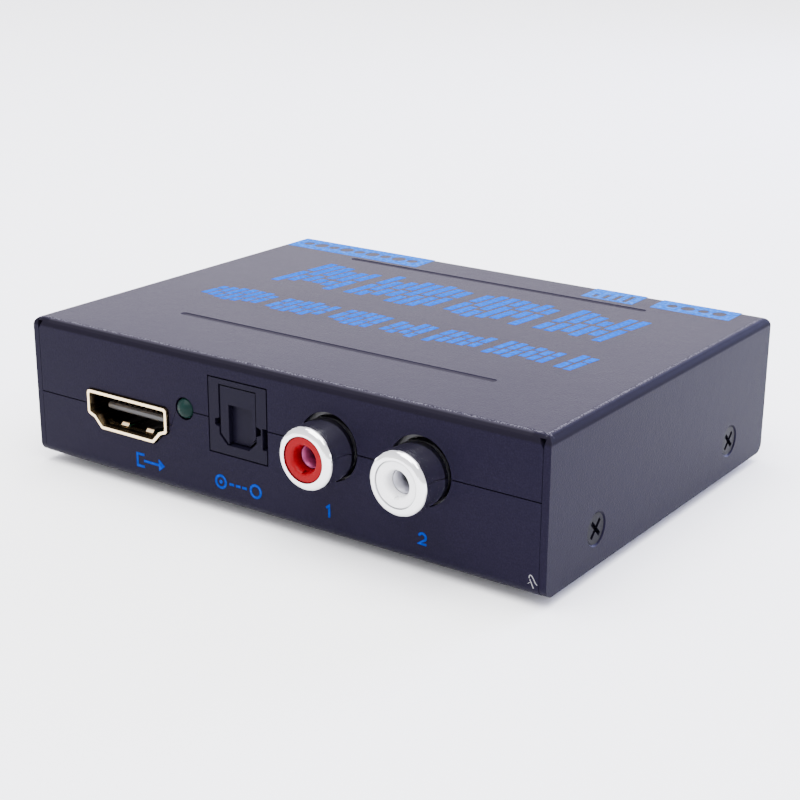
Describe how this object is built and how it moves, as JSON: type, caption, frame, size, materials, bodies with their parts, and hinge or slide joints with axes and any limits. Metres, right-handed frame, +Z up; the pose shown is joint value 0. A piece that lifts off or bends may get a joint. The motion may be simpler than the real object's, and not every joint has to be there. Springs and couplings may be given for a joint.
{
  "type": "hdmi audio extractor",
  "caption": "Flat folded-sheet-metal audio extractor with a video socket at each end, an optical socket with a sprung shutter, phono sockets, a power socket and a slide switch.",
  "frame": {"origin": "under the middle of the whole, on the plane that the rubber feet stand on", "axes": "+Z up, +X to the right as seen from the side with the phono sockets, which face -Y"},
  "size_m": [0.085, 0.0688, 0.0219],
  "materials": {
    "coated_steel": "fine-textured dark powder coat, semi-matt",
    "screw_black": "black oxide steel, satin",
    "rubber_black": "matt moulded rubber",
    "board_green": "solder mask, satin",
    "plated_steel": "nickel plated, satin",
    "tinned": "tin plated leads",
    "gold_plate": "thin gold plating, polished",
    "black_plastic": "moulded, fine grain",
    "dark_plastic": "moulded, smooth",
    "nickel": "bright nickel plate",
    "red_plastic": "glossy moulded",
    "white_plastic": "glossy moulded",
    "lamp_green": "tinted clear epoxy, unlit",
    "chip_black": "moulded epoxy",
    "can_aluminium": "drawn aluminium, satin",
    "phenolic_brown": "phenolic board",
    "ceramic_tan": "fired ceramic"
  },
  "bodies": {
    "case": {"top_cover": "coated_steel", "bottom_tray": "coated_steel", "case_screws": "screw_black", "rubber_feet": "rubber_black", "main_board": "board_green", "board_standoffs": "plated_steel", "board_screws": "plated_steel", "video_out_shell": "gold_plate", "video_out_tongue": "black_plastic", "video_out_contacts": "gold_plate", "video_in_shell": "gold_plate", "video_in_tongue": "black_plastic", "video_in_contacts": "gold_plate", "optical_housing": "dark_plastic", "optical_hinge_pin": "plated_steel", "optical_spring": "plated_steel", "optical_emitter": "chip_black", "phono_shell_left": "nickel", "phono_shell_right": "nickel", "phono_insulator_left": "red_plastic", "phono_insulator_right": "white_plastic", "phono_contacts": "gold_plate", "phono_block": "black_plastic", "status_led": "lamp_green", "led_leads": "tinned", "power_housing": "black_plastic", "power_pin": "nickel", "power_contact": "plated_steel", "switch_frame": "plated_steel", "switch_base": "phenolic_brown", "switch_terminals": "tinned", "decoder_chip": "chip_black", "converter_chip": "chip_black", "regulator_chip": "chip_black", "chip_leads": "tinned", "crystal": "plated_steel", "filter_capacitors": "can_aluminium", "small_parts": "ceramic_tan"},
    "shutter": {"optical_shutter": "dark_plastic"},
    "slider": {"switch_slider": "black_plastic"}
  },
  "joints": [
    {"name": "shutter_hinge", "type": "hinge", "parent": "case", "child": "shutter", "pos_m": [-0.00455, -0.0276, 0.01905], "axis": [1, 0, 0], "range_deg": [0, 88], "stiffness_Nm_per_rad": 0.0002, "springref_deg": -20.05, "deforming": ["optical_spring"]},
    {"name": "switch_slide", "type": "slide", "parent": "case", "child": "slider", "axis": [1, 0, 0], "range_m": [-0.002, 0.002]}
  ]
}
